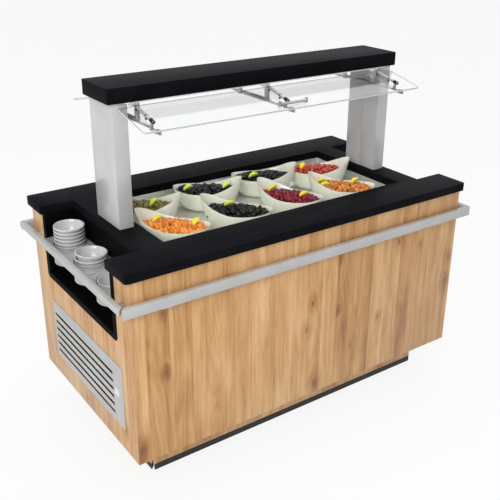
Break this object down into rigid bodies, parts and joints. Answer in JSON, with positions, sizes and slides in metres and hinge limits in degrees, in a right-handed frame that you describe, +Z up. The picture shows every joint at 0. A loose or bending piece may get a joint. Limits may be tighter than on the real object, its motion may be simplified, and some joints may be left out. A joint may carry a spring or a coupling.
{
  "type": "mobile salad bar",
  "caption": "Chilled salad-bar counter on hidden castors: wood-clad cabinet, black worktop with a cold well, posts, canopy, two hinged glass guards and end shelves for bowls.",
  "frame": {"origin": "on the floor under the middle of the worktop, which is the bottom centre of the bounding box", "axes": "+Z is up, +X runs along the long side to the right as seen by a guest at the front, and the front long side, where the nearer glass guard is, faces -Y"},
  "size_m": [1.63, 0.9, 1.403],
  "materials": {
    "oak_cladding": "knotty plank veneer, satin lacquer",
    "black_top": "satin black laminate, slightly textured",
    "black_moulding": "matt black moulded plastic",
    "black_strip": "matt black rubber strip",
    "white_rail": "light grey powder coat, smooth",
    "light_cover": "light grey satin powder coat",
    "stainless": "brushed, satin",
    "zinc_steel": "zinc plated, dull",
    "chassis_paint": "black powder coat",
    "clear_glass": "clear, polished edges",
    "grey_tube": "satin anodised",
    "black_metal": "satin black",
    "chrome_rod": "polished",
    "grey_rubber": "grey rubber tread, dull",
    "foam": "cut foam, rough",
    "aluminium_plate": "mill finish",
    "copper_line": "bare copper, dull",
    "brass_valve": "cast and machined",
    "red_lever": "smooth dipped grip",
    "switch_white": "smooth white",
    "fan_plastic": "moulded, matt",
    "deck_board": "sealed plywood",
    "lamp_diffuser": "translucent, smooth",
    "cream_dish": "smooth cream glaze",
    "white_bowl": "smooth white glaze",
    "salad_mix": "moist mixed salad"
  },
  "bodies": {
    "cabinet": {"chassis_frame": "chassis_paint", "base_deck": "deck_board", "cabinet_frame": "chassis_paint", "long_panels": "oak_cladding", "left_end_panel": "oak_cladding", "right_end_panel": "oak_cladding", "plinth_boards": "oak_cladding", "plinth_strips": "black_strip", "worktop": "black_top", "niche_liners": "black_moulding", "bowl_shelves": "stainless", "tray_rails": "white_rail", "rail_brackets": "light_cover", "well_tank": "stainless", "well_insulation": "foam", "cold_plate": "aluminium_plate", "refrigerant_lines": "copper_line", "drain_pipe": "brass_valve", "louvre_grille": "white_rail", "main_switch": "black_moulding", "unit_tray": "zinc_steel", "compressor": "black_metal", "condenser": "aluminium_plate", "fan_motor": "black_metal", "power_inlet": "black_moulding", "post_cores": "chassis_paint", "post_covers": "light_cover", "canopy_shell": "black_top", "canopy_tray": "light_cover", "led_strip": "lamp_diffuser", "guard_brackets": "light_cover"},
    "front_guard": {"front_glass": "clear_glass", "front_guard_arms": "grey_tube", "front_guard_clamps": "black_metal", "front_handle": "grey_tube"},
    "rear_guard": {"rear_glass": "clear_glass", "rear_guard_arms": "grey_tube", "rear_guard_clamps": "black_metal", "rear_handle": "grey_tube"},
    "front_stay_cylinders": {"front_stay_cylinders": "grey_tube"},
    "front_stay_rods": {"front_stay_rods": "chrome_rod"},
    "rear_stay_cylinders": {"rear_stay_cylinders": "grey_tube"},
    "rear_stay_rods": {"rear_stay_rods": "chrome_rod"},
    "castor_fork_fl": {"castor_fork_fl": "zinc_steel"},
    "castor_fork_fr": {"castor_fork_fr": "zinc_steel"},
    "castor_fork_rl": {"castor_fork_rl": "zinc_steel"},
    "castor_fork_rr": {"castor_fork_rr": "zinc_steel"},
    "castor_wheel_fl": {"castor_wheel_fl": "grey_rubber"},
    "castor_wheel_fr": {"castor_wheel_fr": "grey_rubber"},
    "castor_wheel_rl": {"castor_wheel_rl": "grey_rubber"},
    "castor_wheel_rr": {"castor_wheel_rr": "grey_rubber"},
    "condenser_fan": {"condenser_fan": "fan_plastic"},
    "switch_rocker": {"switch_rocker": "switch_white"},
    "drain_tap": {"drain_tap": "red_lever"},
    "front_dishes": {"front_dishes": "cream_dish", "front_salads": "salad_mix"},
    "rear_dishes": {"rear_dishes": "cream_dish", "rear_salads": "salad_mix"},
    "side_bowls": {"side_bowls": "white_bowl"}
  },
  "joints": [
    {"name": "front_guard_lift", "type": "hinge", "parent": "cabinet", "child": "front_guard", "pos_m": [0, -0.112, 1.345], "axis": [-1, 0, 0], "range_deg": [0, 25]},
    {"name": "front_stay_swing", "type": "hinge", "parent": "cabinet", "child": "front_stay_cylinders", "pos_m": [0, 0.08, 1.27993], "axis": [-1, 0, 0], "range_deg": [0, 11]},
    {"name": "front_stay_slide", "type": "slide", "parent": "front_stay_cylinders", "child": "front_stay_rods", "axis": [0, -1, 0], "range_m": [0, 0.021]},
    {"name": "rear_guard_lift", "type": "hinge", "parent": "cabinet", "child": "rear_guard", "pos_m": [0, 0.112, 1.345], "axis": [1, 0, 0], "range_deg": [0, 25]},
    {"name": "rear_stay_swing", "type": "hinge", "parent": "cabinet", "child": "rear_stay_cylinders", "pos_m": [0, -0.08, 1.27993], "axis": [1, 0, 0], "range_deg": [0, 11]},
    {"name": "rear_stay_slide", "type": "slide", "parent": "rear_stay_cylinders", "child": "rear_stay_rods", "axis": [0, 1, 0], "range_m": [0, 0.021]},
    {"name": "castor_swivel_fl", "type": "hinge", "parent": "cabinet", "child": "castor_fork_fl", "pos_m": [-0.54, -0.2, 0.11], "axis": [0, 0, 1], "continuous": true},
    {"name": "castor_roll_fl", "type": "hinge", "parent": "castor_fork_fl", "child": "castor_wheel_fl", "pos_m": [-0.505, -0.2, 0.05], "axis": [0, 1, 0], "continuous": true},
    {"name": "castor_swivel_fr", "type": "hinge", "parent": "cabinet", "child": "castor_fork_fr", "pos_m": [0.54, -0.2, 0.11], "axis": [0, 0, 1], "continuous": true},
    {"name": "castor_roll_fr", "type": "hinge", "parent": "castor_fork_fr", "child": "castor_wheel_fr", "pos_m": [0.575, -0.2, 0.05], "axis": [0, 1, 0], "continuous": true},
    {"name": "castor_swivel_rl", "type": "hinge", "parent": "cabinet", "child": "castor_fork_rl", "pos_m": [-0.54, 0.2, 0.11], "axis": [0, 0, 1], "continuous": true},
    {"name": "castor_roll_rl", "type": "hinge", "parent": "castor_fork_rl", "child": "castor_wheel_rl", "pos_m": [-0.505, 0.2, 0.05], "axis": [0, 1, 0], "continuous": true},
    {"name": "castor_swivel_rr", "type": "hinge", "parent": "cabinet", "child": "castor_fork_rr", "pos_m": [0.54, 0.2, 0.11], "axis": [0, 0, 1], "continuous": true},
    {"name": "castor_roll_rr", "type": "hinge", "parent": "castor_fork_rr", "child": "castor_wheel_rr", "pos_m": [0.575, 0.2, 0.05], "axis": [0, 1, 0], "continuous": true},
    {"name": "fan_spin", "type": "hinge", "parent": "cabinet", "child": "condenser_fan", "pos_m": [-0.64, 0, 0.31], "axis": [1, 0, 0], "continuous": true},
    {"name": "switch_rock", "type": "hinge", "parent": "cabinet", "child": "switch_rocker", "pos_m": [-0.769, -0.282, 0.385], "axis": [0, 1, 0], "range_deg": [-8, 8]},
    {"name": "drain_turn", "type": "hinge", "parent": "cabinet", "child": "drain_tap", "pos_m": [0.25, 0.024, 0.105], "axis": [0, 1, 0], "range_deg": [0, 90]},
    {"name": "front_dishes_lift", "type": "slide", "parent": "cabinet", "child": "front_dishes", "axis": [0, 0, 1], "range_m": [0, 0.12]},
    {"name": "rear_dishes_lift", "type": "slide", "parent": "cabinet", "child": "rear_dishes", "axis": [0, 0, 1], "range_m": [0, 0.12]},
    {"name": "side_bowls_lift", "type": "slide", "parent": "cabinet", "child": "side_bowls", "axis": [0, 0, 1], "range_m": [0, 0.2]}
  ],
  "couplings": [
    {"joint": "front_stay_swing", "follows": "front_guard_lift", "ratio": 0.4333},
    {"joint": "front_stay_slide", "follows": "front_guard_lift", "m_per_rad": 0.04665},
    {"joint": "rear_stay_swing", "follows": "rear_guard_lift", "ratio": 0.4333},
    {"joint": "rear_stay_slide", "follows": "rear_guard_lift", "m_per_rad": 0.04665}
  ]
}
